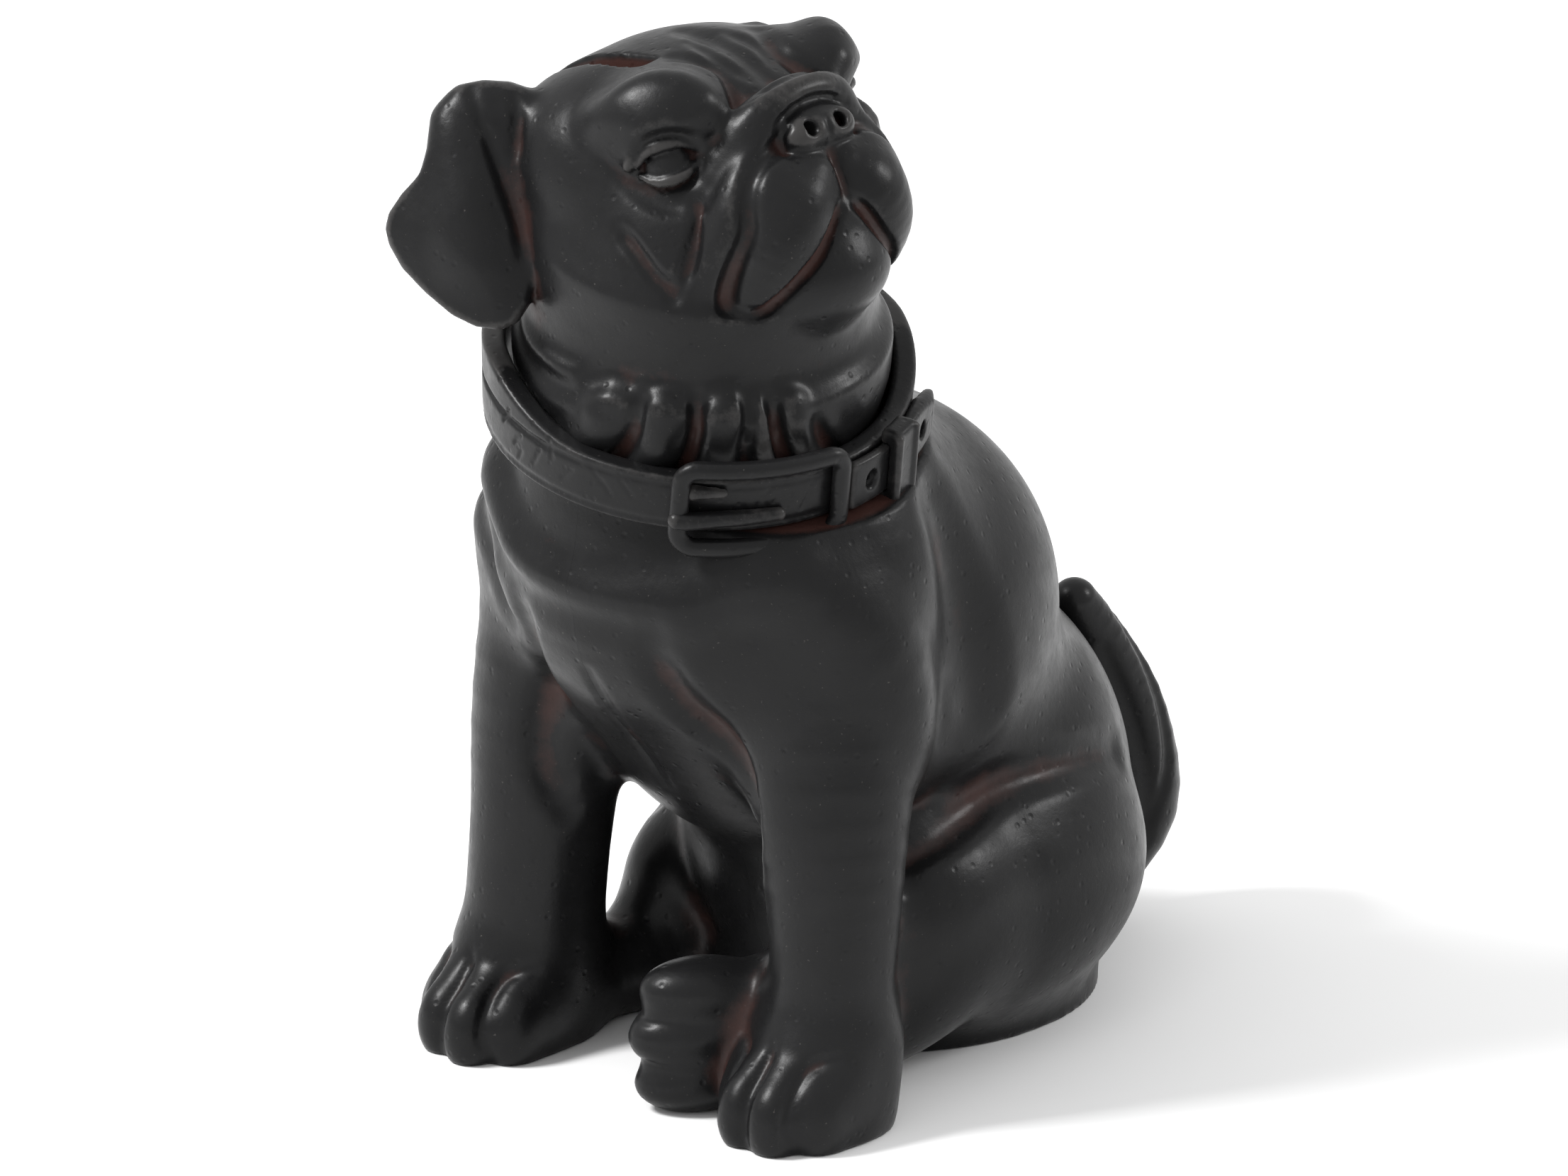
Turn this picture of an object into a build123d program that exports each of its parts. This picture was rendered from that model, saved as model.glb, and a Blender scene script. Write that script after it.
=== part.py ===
from build123d import *
import math
import os

# A still bank cast as a seated dog that wears a buckled collar, in millimetres.
# The dog's chest faces -Y and its left side is +X. The head is turned to its left.

# ---- Driving dimensions ----
HEIGHT = 200.0                  # floor to the crown of the head
WALL = 5.0                      # casting wall of the body and the head
FIT = 0.25                      # clearance of one casting inside another
MEASURE_TOLERANCE = 0.02        # of the mesh that finds the middle of the length

TORSO_MASSES = (                # chest, back and rump: middle, then half sizes
    ((0, -31, 101), (44, 42, 40)),
    ((0, -7, 80), (42, 48, 43.5)),
    ((0, 18, 38), (40, 43.5, 46)),
)
RUMP_FOOT = (34.0, 38.5)        # half width and half length where the rump meets the shelf
RUMP_WAIST = (37.5, 40.9, 22.0)  # the same further up, and that height

LEG_X = 37.0                    # forelegs, each side of the parting plane
LEG_Y = -44.0
FORELEG_SECTIONS = (            # height, distance from the parting plane, place, radius
    (5, LEG_X, LEG_Y, 12.0),
    (22, LEG_X, LEG_Y, 12.0),
    (42, LEG_X, LEG_Y, 12.5),
    (66, 34.0, -42.0, 15.0),
    (96, 29.0, -38.0, 19.0),
    (112, 24.0, -36.0, 17.0),
)
PAW = (14.0, 18.0, 13.0)        # half width, half length and height of a forepaw
PAW_AHEAD = 8.0                 # middle of the paw, in front of the leg
PAW_HEIGHT = 9.0
TOE = (5.2, 7.5, 7.0)           # half sizes of each of the forepaw's three toes
TOE_STEP = 8.0                  # from one toe to the next
TOE_AHEAD = 17.0                # middle toe, in front of the leg
TOE_BACK = 2.0                  # how far the outer toes lie behind it

HIND_LEFT = (                   # thigh, shin and foot on edge: middle, half sizes, yaw
    ((28, 8, 27), (19, 42, 28), 0),
    ((30, -26, 18), (12, 22, 14), -25),
    ((18, -46, 14), (9, 17, 14.5), -35),
)
HIND_TOE = (6.5, 9.0, 5.4)      # half sizes of its toes, which lie one above another
HIND_TOE_AT = (11.5, -55.0)
HIND_TOE_HEIGHTS = (6.0, 14.5, 23.0)
HIND_TOE_YAW = -35.0
HIND_RIGHT = (                  # thigh and shin, lower and further back than the left ones
    ((-27, 22, 27), (19, 32, 28)),
    ((-30, -6, 15), (13, 26, 16)),
)

NECK_AT = (0.0, -39.0, 131.0)   # middle of the neck joint
NECK_LEAN = 13.0                # the collar dips this far towards its buckle
BUCKLE_TURN = 60.0              # the buckle's place round the neck, from the chest to the left
STUB_RADIUS = 33.0              # top of the body, inside the collar
NECK_RADIUS = 33.0              # neck of the head casting at the joint
NECK_TOP = (30.0, 36.0)         # its radius inside the head, and how far up that is
BORE_RADIUS = 24.0              # socket for the head's spigot
PASSAGE_RADIUS = 20.5           # coin passage inside the spigot
SPIGOT_LENGTH = 12.5
SOCKET_LENGTH = 13.0

STRAP_INNER = 34.5
STRAP_THICK = 4.5
STRAP_LOW = -6.0                # the strap's edges, measured up the neck from the joint
STRAP_HIGH = 5.0
TIP_THICK = 2.0
TIP_START = 27.0                # angles round the neck from the buckle, towards the back
TIP_END = 72.0
BUCKLE_SIZE = (35.0, 20.0, 3.0)  # length round the neck, height, thickness
BUCKLE_BAR = 3.6
PRONG = (18.0, 3.4, 2.4)        # length, width, thickness
STRAP_OUTER = STRAP_INNER + STRAP_THICK
TIP_OUTER = STRAP_OUTER + TIP_THICK
KEEPER_TURN = 45.0
KEEPER_SIZE = (7.5, 15.5, 2.0)  # length round the neck, height, thickness

HEAD_TURN = 88.0                # yaw from the chest to the dog's left
HEAD_LIFT = 24.0                # chin raised
SKULL_AT = (-2.0, 0.0, 0.0)     # places on the head are in its own frame
SKULL = (35.0, 33.5, 31.0)      # half length, half width, half height
FACE_MASSES = (                 # flews, chin, nose and the fold over the nose: middle, half sizes
    ((28, 0, -8), (17, 20, 17)),
    ((25, 0, -18), (15, 15, 11)),
    ((38, 0, 6), (5.5, 8.5, 5)),
    ((27, 0, 4), (9, 18, 11)),
)
EAR = (14.0, 5.5, 23.0)         # half width, half thickness, half length
EAR_PLACES = (                  # middle, direction of the free edge, direction of the root
    ((-20.0, -36.0, 12.5), (-0.78, -0.56, 0.29), (0.19, 0.22, 0.96)),
    ((0.0, 35.5, 11.0), (0.85, 0.50, 0.00), (0.05, -0.50, 0.85)),
)

SLOT_AT = (-13.0, -54.0)        # middle of the coin slot, back and right of the crown
SLOT_SIZE = (31.0, 4.0)

TAIL_LINE = ((4, 62, 12), (5, 75, 23), (5, 74, 39), (4.5, 67.5, 54), (4, 60, 66))
TAIL_RADII = (8.5, 9.2, 8.0, 6.2, 4.5)
TENON = (3.5, 12.0)             # radius and length of the tail's tenon
TENON_SHIFT = (2.5, 4.0)        # its place from the tail's root, outwards and up

BASE_AT = (0.0, 18.0)           # middle of the hollow under the rump
BASE_HOLLOW = (31.0, 36.0)      # its half width and half length
FLOOR_LOW = 10.0                # underside of the cast floor, above the shelf
FLOOR_THICK = 4.0

TRAP_PIVOT = (-12.0, 17.0)
TRAP_OPENING = (0.0, 33.0)
TRAP_OPENING_RADIUS = 13.5
TRAP_COVER_RADIUS = 16.0
TRAP_THICK = 3.0
TRAP_GAP = 0.3                  # cover to floor
RIVET_RADIUS = 2.5
RIVET_HEAD = (4.6, 2.0)
LOCK_AT = (-19.0, 34.0)
LOCK_RADIUS = 2.0               # M4 lock screw
LOCK_HEAD = (4.5, 2.4)
LOCK_WASHER = (5.2, 1.0)
LOCK_GAP = 0.1                  # washer to cover
RUN_FIT = 0.05                  # radial clearance of what turns

CLAMP_AT = ((-26.0, 84.0, -36.0), (34.0, 62.0, -28.5))   # y, z and depth of each screw's seat
CLAMP_RADIUS = 2.5
CLAMP_HEAD = (4.5, 3.0)
CLAMP_REACH = 14.0              # thread in the left half
BOSS_RADIUS = 6.5
PIN_AT = ((-68.0, 88.0), (27.6, 106.6), (59.0, 42.0))    # locating pins in the wall, y and z
PIN_RADIUS = 1.5
PIN_LENGTH = 9.0

BRIDGE = (55.0, 12.0, 4.0)      # bar under the neck socket
WEB = (10.0, 6.0)               # cross web in the spigot, width and height
SCREW_RADIUS = 2.5
SCREW_HEAD = (4.5, 3.5)

HEAD_AT = (0.0, -40.0, HEIGHT - 31.5)


def ellipsoid(centre, radii, turn=(0, 0, 0)):
    return Pos(*centre) * Rot(*turn) * scale(Sphere(1), by=tuple(float(r) for r in radii))


def limb(points, radii):
    """Round limb through the points: a ball at each and a cone frustum between neighbours."""
    pieces = [Pos(*p) * Sphere(r * 1.03) for p, r in zip(points, radii)]
    for start, end, r0, r1 in zip(points, points[1:], radii, radii[1:]):
        axis = Vector(*end) - Vector(*start)
        place = Plane(origin=start, z_dir=axis)
        pieces.append(place * frustum(r0, r1, axis.length))
    return pieces


def frustum(low, high, length):
    """Cone frustum standing on the plane it is placed in."""
    base = (Align.CENTER, Align.CENTER, Align.MIN)
    if abs(low - high) < 0.01:
        return Cylinder(low, length, align=base)
    return Cone(low, high, length, align=base)


def column(radius, low, high, at=(0, 0)):
    """Upright cylinder between two heights."""
    return Pos(at[0], at[1], low) * Cylinder(radius, high - low, align=(Align.CENTER, Align.CENTER, Align.MIN))


def across(y, z, low, high, radius):
    """Cylinder along X between two places."""
    return Pos((low + high) / 2, y, z) * Rot(0, 90, 0) * Cylinder(radius, high - low)


def band(inner, outer, low, high):
    """Upright tube between two heights."""
    return column(outer, low, high) - column(inner, low - 1, high + 1)


def polar(reach, degrees):
    return reach * math.cos(math.radians(degrees)), reach * math.sin(math.radians(degrees))


def sector(start, end, reach):
    """Flat slice of a disc between two angles."""
    corners = [polar(reach, start + (end - start) * step / 4) for step in range(5)]
    return Polygon((0, 0), *corners, align=None)


def wedge(start, end, reach=70):
    """Slice between two angles round the neck, to cut a length out of a band."""
    return Pos(0, 0, -30) * extrude(sector(start, end, reach), 60)


def fused(pieces):
    """Joins the pieces one after another into one solid."""
    solid = pieces[0]
    for piece in pieces[1:]:
        solid = solid.fuse(piece)
    return solid


def neck_plane():
    """Frame of the neck joint: its Z runs up the neck and its X points at the buckle."""
    turn = math.radians(BUCKLE_TURN)
    lean = math.radians(NECK_LEAN)
    ahead = Vector(math.sin(turn), -math.cos(turn), 0)
    up = ahead * math.sin(lean) + Vector(0, 0, 1) * math.cos(lean)
    across = ahead * math.cos(lean) - Vector(0, 0, 1) * math.sin(lean)
    return Plane(origin=NECK_AT, x_dir=across, z_dir=up)


def head_plane():
    """Frame of the head: X points along the muzzle, Y to the dog's left and Z out of the crown."""
    turn = math.radians(HEAD_TURN)
    lift = math.radians(HEAD_LIFT)
    ahead = Vector(math.sin(turn), -math.cos(turn), 0)
    nose = ahead * math.cos(lift) + Vector(0, 0, 1) * math.sin(lift)
    crown = Vector(0, 0, 1) * math.cos(lift) - ahead * math.sin(lift)
    return Plane(origin=HEAD_AT, x_dir=nose, z_dir=crown)


NECK = neck_plane()
ACROSS_NECK = Rot(0, 0, 90 - BUCKLE_TURN)   # turns a bar in the neck to lie from side to side
HEAD = head_plane()


def torso(shrink=0.0):
    """Chest, back and rump. shrink draws the surface in, for the cavity."""
    return fused([ellipsoid(middle, [r - shrink for r in radii]) for middle, radii in TORSO_MASSES])


def rump_foot():
    """Flat-bottomed foot under the rump, flaring up into it."""
    rings = [
        Pos(BASE_AT[0], BASE_AT[1], 0) * Ellipse(*RUMP_FOOT),
        Pos(BASE_AT[0], BASE_AT[1], RUMP_WAIST[2]) * Ellipse(*RUMP_WAIST[:2]),
    ]
    return loft(rings, ruled=True)


def foreleg(side):
    """Shoulder to wrist as one skin, and the ball of the paw with its toes."""
    rings = []
    for height, out, ahead, radius in FORELEG_SECTIONS:
        rings.append(Plane(origin=(side * out, ahead, height)) * Circle(radius))
    pieces = [loft(rings)]
    pieces.append(ellipsoid((side * LEG_X, LEG_Y - PAW_AHEAD, PAW_HEIGHT), PAW))
    for toe in (-1, 0, 1):
        centre = (side * LEG_X + toe * TOE_STEP, LEG_Y - TOE_AHEAD + TOE_BACK * abs(toe), TOE[2])
        pieces.append(ellipsoid(centre, TOE))
    return pieces


def hind_leg_left():
    """Thigh against the flank; the foot stands on edge inside the foreleg, toes one above another."""
    pieces = [ellipsoid(middle, radii, (0, 0, yaw)) for middle, radii, yaw in HIND_LEFT]
    for height in HIND_TOE_HEIGHTS:
        pieces.append(ellipsoid((*HIND_TOE_AT, height), HIND_TOE, (0, 0, HIND_TOE_YAW)))
    return pieces


def outer_body():
    pieces = [torso(), rump_foot()]
    for side in (-1, 1):
        pieces += foreleg(side)
    pieces += hind_leg_left()
    pieces += [ellipsoid(*mass) for mass in HIND_RIGHT]
    pieces.append(NECK * column(STUB_RADIUS, -34, 0))
    return fused(pieces)


def collar_seat():
    """Space that the collar and the head take out of the body."""
    ledge = band(STUB_RADIUS, 90, STRAP_LOW - FIT, 1)
    buckle_low = -BUCKLE_SIZE[1] / 2 - 0.5
    ledge += band(STRAP_OUTER - 0.5, 90, buckle_low, 1) & wedge(-30, 56, 90)
    return NECK * (ledge + column(90, 0, 120))


def bridge_seat():
    """Room for the bridge's ends under the socket, where the cavity's wall curves in."""
    length, width, thick = BRIDGE
    room = Box(length + 2 * FIT, width + 2 * FIT, thick + 1)
    return NECK * ACROSS_NECK * Pos(0, 0, -SOCKET_LENGTH - (thick + 1) / 2) * room


def body_cavity():
    solid = torso(WALL)
    solid -= Pos(0, 0, FLOOR_LOW + FLOOR_THICK - 100) * Box(300, 300, 200)
    solid -= NECK * column(90, -SOCKET_LENGTH, 60)
    for y, z, seat in CLAMP_AT:
        solid -= across(y, z, -60, 60, BOSS_RADIUS)
    return solid


def casting():
    """Both halves of the body as one piece, hollow and cut flat to stand."""
    solid = outer_body() - Pos(0, 0, -50) * Box(400, 400, 100)
    solid -= collar_seat()
    solid -= body_cavity()
    solid -= NECK * column(BORE_RADIUS, -SOCKET_LENGTH - 12, 5)
    solid -= bridge_seat()
    hollow = Pos(BASE_AT[0], BASE_AT[1], -5) * extrude(Ellipse(*BASE_HOLLOW), FLOOR_LOW + 5)
    solid -= hollow
    solid -= column(TRAP_OPENING_RADIUS, 0, 30, TRAP_OPENING)
    solid -= column(RIVET_RADIUS, 0, 30, TRAP_PIVOT)
    solid -= column(LOCK_RADIUS + RUN_FIT, 0, 30, LOCK_AT)
    for y, z in PIN_AT:
        solid -= across(y, z, -PIN_LENGTH / 2, PIN_LENGTH / 2, PIN_RADIUS)
    for y, z, seat in CLAMP_AT:
        solid -= across(y, z, seat, CLAMP_REACH, CLAMP_RADIUS)
        solid -= across(y, z, -90, seat, CLAMP_HEAD[0] + FIT)
    return solid - tail_tenon()


def body_halves():
    whole = casting()
    right = whole - Pos(200, 0, 0) * Box(400, 600, 600)
    left = whole - Pos(-200, 0, 0) * Box(400, 600, 600)
    return right, left


def clamp_screw(y, z, seat):
    shank = across(y, z, seat, CLAMP_REACH, CLAMP_RADIUS)
    head = across(y, z, seat - CLAMP_HEAD[1], seat, CLAMP_HEAD[0])
    driver = Pos(seat - CLAMP_HEAD[1], y, z) * Box(2.4, 12, 1.2)
    return shank + head - driver


def tail_tenon():
    x, y, z = TAIL_LINE[0]
    middle = (x + TENON_SHIFT[0], y - TENON[1] / 2, z + TENON_SHIFT[1])
    return Pos(*middle) * Rot(90, 0, 0) * Cylinder(TENON[0], TENON[1])


def tail(body_sides):
    """Tail cast on its own: its root is shaped to the rump, and a tenon goes into the wall."""
    solid = fused(limb(TAIL_LINE, TAIL_RADII))
    for side in body_sides:
        solid -= side
    outside = solid.solids().sort_by(SortBy.VOLUME)[-1]
    return outside.fuse(tail_tenon())


def ear(middle, edge, rise):
    """Flap that hangs from the top corner of the skull. Its surface's seam is on the free edge."""
    return Plane(origin=middle, x_dir=edge, z_dir=rise) * ellipsoid((0, 0, 0), EAR)


def head_masses():
    """Skull, face and ears, placed in the world."""
    pieces = [ellipsoid(SKULL_AT, SKULL)]
    pieces += [ellipsoid(*mass) for mass in FACE_MASSES]
    pieces += [ear(*place) for place in EAR_PLACES]
    return [HEAD * p for p in pieces]


def head():
    pieces = head_masses()
    pieces.append(NECK * frustum(NECK_RADIUS, *NECK_TOP))
    solid = fused(pieces) - NECK * column(90, -120, 0)
    solid += NECK * column(BORE_RADIUS - FIT, -SPIGOT_LENGTH, 3)
    inside = HEAD * ellipsoid(SKULL_AT, [r - WALL for r in SKULL])
    inside += NECK * column(PASSAGE_RADIUS, -SPIGOT_LENGTH - 5, 26)
    solid -= inside
    web = Pos(0, 0, -SPIGOT_LENGTH + WEB[1] / 2) * Box(2 * PASSAGE_RADIUS + 2, WEB[0], WEB[1])
    solid += NECK * ACROSS_NECK * web
    solid -= NECK * column(SCREW_RADIUS, -SPIGOT_LENGTH - 5, 0)
    slot = Pos(SLOT_AT[0], SLOT_AT[1], HEAD_AT[2] + 30) * Box(SLOT_SIZE[0], SLOT_SIZE[1], 60)
    return solid - slot


def neck_bridge():
    bar = Pos(0, 0, -SOCKET_LENGTH - BRIDGE[2] / 2) * Box(*BRIDGE)
    return NECK * ACROSS_NECK * (bar - column(SCREW_RADIUS, -40, 0))


def neck_screw():
    low = -SOCKET_LENGTH - BRIDGE[2]
    shank = column(SCREW_RADIUS, low, -SPIGOT_LENGTH + WEB[1])
    cap = column(SCREW_HEAD[0], low - SCREW_HEAD[1], low)
    driver = Pos(0, 0, low - SCREW_HEAD[1]) * Box(12, 1.2, 2.4)
    return NECK * (shank + cap - driver)


def collar_strap():
    return NECK * band(STRAP_INNER, STRAP_OUTER, STRAP_LOW, STRAP_HIGH)


def collar_tip():
    """End of the strap, laid over itself past the buckle and held by the keeper."""
    layer = band(STRAP_OUTER, TIP_OUTER, STRAP_LOW + 0.5, STRAP_HIGH - 0.5)
    return NECK * (layer & wedge(TIP_START, TIP_END))


def buckle_frame():
    length, height, thick = BUCKLE_SIZE
    shell = band(STRAP_OUTER, STRAP_OUTER + thick, -30, 30)
    outline = RectangleRounded(length, height, 4.5) - RectangleRounded(
        length - 2 * BUCKLE_BAR, height - 2 * BUCKLE_BAR, 2.0
    )
    window = Plane(origin=(0, 0, -0.5), x_dir=(0, 1, 0), z_dir=(1, 0, 0)) * extrude(outline, 80)
    return NECK * (shell & window)


def buckle_prong():
    length, width, thick = PRONG
    inner = STRAP_OUTER
    start = -BUCKLE_SIZE[0] / 2 + BUCKLE_BAR
    shell = band(inner, inner + thick, -30, 30)
    return NECK * (shell & Pos(40, start + length / 2, -2) * Box(40, length, width))


def keeper_loop():
    length, height, thick = KEEPER_SIZE
    shell = band(STRAP_OUTER, TIP_OUTER + thick, -height / 2 - 0.5, height / 2 - 0.5)
    loop = shell & (Rot(0, 0, KEEPER_TURN) * Pos(45, 0, 0) * Box(40, length, 60))
    inside = band(STRAP_OUTER, TIP_OUTER, STRAP_LOW + 0.5, STRAP_HIGH - 0.5)
    return NECK * (loop - inside)


def hull_of(a, b, radius):
    """Rounded bar between two points on a plan."""
    start, end = Vector(*a), Vector(*b)
    middle = (start + end) / 2
    turn = math.degrees(math.atan2(end.Y - start.Y, end.X - start.X))
    return Pos(middle.X, middle.Y) * Rot(0, 0, turn) * SlotCenterToCenter((end - start).length, 2 * radius)


def trap_cover():
    """Plate that swings on the rivet. A hook-shaped notch lets it leave the lock screw."""
    top = FLOOR_LOW - TRAP_GAP
    plan = Pos(*TRAP_OPENING) * Circle(TRAP_COVER_RADIUS)
    plan += hull_of(TRAP_PIVOT, TRAP_OPENING, 7)
    plan += hull_of(LOCK_AT, TRAP_OPENING, 7)
    arm = Vector(*LOCK_AT) - Vector(*TRAP_PIVOT)
    reach = arm.length
    turn = math.degrees(math.atan2(arm.Y, arm.X))
    hole = LOCK_RADIUS + 0.4
    plan -= Pos(*LOCK_AT) * Circle(hole)
    notch = Circle(reach + hole) - Circle(reach - hole)
    plan -= Pos(*TRAP_PIVOT) * (notch & sector(turn, turn + 50, 60))
    plan -= Pos(*TRAP_PIVOT) * Circle(RIVET_RADIUS + RUN_FIT)
    return Pos(0, 0, top - TRAP_THICK) * extrude(plan, TRAP_THICK)


def trap_rivet():
    under = FLOOR_LOW - TRAP_GAP - TRAP_THICK - LOCK_GAP
    over = FLOOR_LOW + FLOOR_THICK
    pieces = [
        column(RIVET_HEAD[0], under - RIVET_HEAD[1], under, TRAP_PIVOT),
        column(RIVET_RADIUS, under, over, TRAP_PIVOT),
        column(RIVET_HEAD[0], over, over + RIVET_HEAD[1], TRAP_PIVOT),
    ]
    return fused(pieces)


def lock_washer():
    top = FLOOR_LOW - TRAP_GAP - TRAP_THICK - LOCK_GAP
    disc = column(LOCK_WASHER[0], top - LOCK_WASHER[1], top, LOCK_AT)
    return disc - column(LOCK_RADIUS + RUN_FIT, 0, 20, LOCK_AT)


def lock_screw():
    top = FLOOR_LOW - TRAP_GAP - TRAP_THICK - LOCK_GAP - LOCK_WASHER[1] - LOCK_GAP
    low = top - LOCK_HEAD[1]
    solid = column(LOCK_HEAD[0], low, top, LOCK_AT)
    solid += column(LOCK_RADIUS, top, FLOOR_LOW + FLOOR_THICK + 2, LOCK_AT)
    return solid - Pos(LOCK_AT[0], LOCK_AT[1], low) * Box(12, 1.0, 2.0)


def build():
    right, left = body_halves()
    parts = {
        "body_right": right,
        "body_left": left,
        "head": head(),
        "tail": tail([right, left]),
        "neck_bridge": neck_bridge(),
        "neck_screw": neck_screw(),
        "collar_strap": collar_strap(),
        "collar_tip": collar_tip(),
        "buckle_frame": buckle_frame(),
        "buckle_prong": buckle_prong(),
        "keeper_loop": keeper_loop(),
        "clamp_screws": fused([clamp_screw(*place) for place in CLAMP_AT]),
        "locating_pins": fused(
            [across(y, z, -PIN_LENGTH / 2, PIN_LENGTH / 2, PIN_RADIUS) for y, z in PIN_AT]
        ),
        "trap_cover": trap_cover(),
        "trap_rivet": trap_rivet(),
        "lock_washer": lock_washer(),
        "lock_screw": lock_screw(),
    }
    return parts


def export(name, shape):
    solids = shape.solids()
    print(name, len(solids), round(shape.volume / 1000, 2), shape.bounding_box())
    whole = solids[0] if len(solids) == 1 else Compound(children=list(solids))
    export_step(whole, f"parts/{name}.step")


def centred(parts):
    """Slides the model along Y so that the middle of its length is over the origin."""
    corners = []
    for part in parts.values():
        for solid in part.solids():
            corners += solid.tessellate(MEASURE_TOLERANCE)[0]
    spans = [(min(place), max(place)) for place in zip(*(tuple(corner) for corner in corners))]
    slide = -sum(spans[1]) / 2
    print("slide", slide, "spans", spans)
    return {name: Pos(0, slide, 0) * part for name, part in parts.items()}


os.makedirs("parts", exist_ok=True)
for node, shape in centred(build()).items():
    export(node, shape)
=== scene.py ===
"""A cast iron still bank in the form of a seated dog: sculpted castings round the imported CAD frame.

Every casting is a distance field in millimetres, in the design frame of the CAD model: the chest faces -Y,
the dog's left is +X and the shelf is Z = 0. The field is meshed, scaled to metres and slid along Y with the
frame. The screws, rivet, washer, bridge, pins and trap cover stay CAD nodes, with better materials.
"""

import copy
import math

import bpy
import numpy as np
import openvdb
from mathutils import Matrix, Vector


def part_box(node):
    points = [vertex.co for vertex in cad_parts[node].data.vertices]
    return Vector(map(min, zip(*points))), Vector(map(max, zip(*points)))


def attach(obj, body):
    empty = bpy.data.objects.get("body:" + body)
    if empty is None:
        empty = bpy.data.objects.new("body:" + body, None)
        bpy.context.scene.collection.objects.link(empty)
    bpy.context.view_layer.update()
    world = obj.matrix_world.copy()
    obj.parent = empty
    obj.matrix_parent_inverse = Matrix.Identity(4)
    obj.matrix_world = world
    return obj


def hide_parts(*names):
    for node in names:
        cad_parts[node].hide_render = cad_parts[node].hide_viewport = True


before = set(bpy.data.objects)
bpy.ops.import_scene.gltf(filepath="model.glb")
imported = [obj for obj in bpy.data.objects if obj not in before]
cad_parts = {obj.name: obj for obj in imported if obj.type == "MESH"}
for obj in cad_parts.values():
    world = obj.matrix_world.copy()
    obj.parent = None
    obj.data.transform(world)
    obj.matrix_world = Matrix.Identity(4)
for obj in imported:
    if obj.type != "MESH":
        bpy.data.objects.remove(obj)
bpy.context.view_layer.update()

MM = 0.001
COARSE = 1.0
BODY_VOXEL = 0.8 * COARSE
HEAD_VOXEL = 0.6 * COARSE
TRIM_VOXEL = 0.4 * COARSE
FAR = 60.0                      # field value far from any surface
SHARP_ANGLE = 50.0              # edges steeper than this are shaded as edges

WALL = 5.0
TRAP_PIVOT = (-12.0, 17.0)
TRAP_OPENING = (0.0, 33.0)
TRAP_OPENING_RADIUS = 13.5
LOCK_AT = (-19.0, 34.0)
TORSO_MASSES = (((0, -31, 101), (44, 42, 40)), ((0, -7, 80), (42, 48, 43.5)), ((0, 18, 38), (40, 43.5, 46)))
BASE_AT = (0.0, 18.0)
BASE_HOLLOW = (31.0, 36.0)
FLOOR_LOW = 10.0
FLOOR_HIGH = 14.0
CLAMP_AT = ((-26.0, 84.0, -36.0), (34.0, 62.0, -28.5))
BOSS_RADIUS = 6.5

NECK_AT = (0.0, -39.0, 131.0)
NECK_LEAN = 13.0
BUCKLE_TURN = 60.0
STUB_RADIUS = 33.0
BORE_RADIUS = 24.0
PASSAGE_RADIUS = 20.5
SPIGOT_LENGTH = 12.5
SOCKET_LENGTH = 13.0
STRAP_INNER = 34.5
STRAP_OUTER = 39.0
STRAP_LOW = -6.0
STRAP_HIGH = 5.0
BUCKLE_SIZE = (35.0, 20.0)

HEAD_TURN = 88.0
HEAD_LIFT = 24.0
HEAD_AT = (0.0, -40.0, 168.5)
SLOT_AT = (-13.0, -54.0)
SLOT_SIZE = (31.0, 4.0)

VIEW = (42.0, 19.5)             # azimuth and elevation of the camera
LENS = 752.0
CAMERA_DISTANCE = 6.0
PICTURE_MIDDLE = (-10.4, 78.1, 33.4)   # along the view's right, up and back, in millimetres
STUDIO_MIDDLE = Vector((0, 0, 0.1))


# ---------------------------------------------------------------- frames

def neck_axes():
    """Columns: towards the buckle, round the neck to the back, up the neck."""
    turn, lean = math.radians(BUCKLE_TURN), math.radians(NECK_LEAN)
    ahead = Vector((math.sin(turn), -math.cos(turn), 0))
    up = ahead * math.sin(lean) + Vector((0, 0, 1)) * math.cos(lean)
    out = ahead * math.cos(lean) - Vector((0, 0, 1)) * math.sin(lean)
    return np.array([out, up.cross(out), up]).T


def head_axes():
    """Columns: along the muzzle, the dog's left, out of the crown."""
    turn, lift = math.radians(HEAD_TURN), math.radians(HEAD_LIFT)
    ahead = Vector((math.sin(turn), -math.cos(turn), 0))
    nose = ahead * math.cos(lift) + Vector((0, 0, 1)) * math.sin(lift)
    crown = Vector((0, 0, 1)) * math.cos(lift) - ahead * math.sin(lift)
    return np.array([nose, crown.cross(nose), crown]).T


NECK, HEAD = neck_axes(), head_axes()
WORLD = np.eye(3)


def turned(x=0.0, y=0.0, z=0.0):
    """Rotation about X, then Y, then Z, in degrees."""
    spin = Matrix.Rotation(math.radians(z), 3, "Z") @ Matrix.Rotation(math.radians(y), 3, "Y")
    return np.array(spin @ Matrix.Rotation(math.radians(x), 3, "X"))


# ---------------------------------------------------------------- distance field

def blend_min(a, b, k):
    """Smaller of two fields, rounded over a width of k."""
    if k <= 0:
        return np.minimum(a, b)
    h = np.maximum(k - np.abs(a - b), 0) / k
    return np.minimum(a, b) - h * h * k * 0.25


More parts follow.
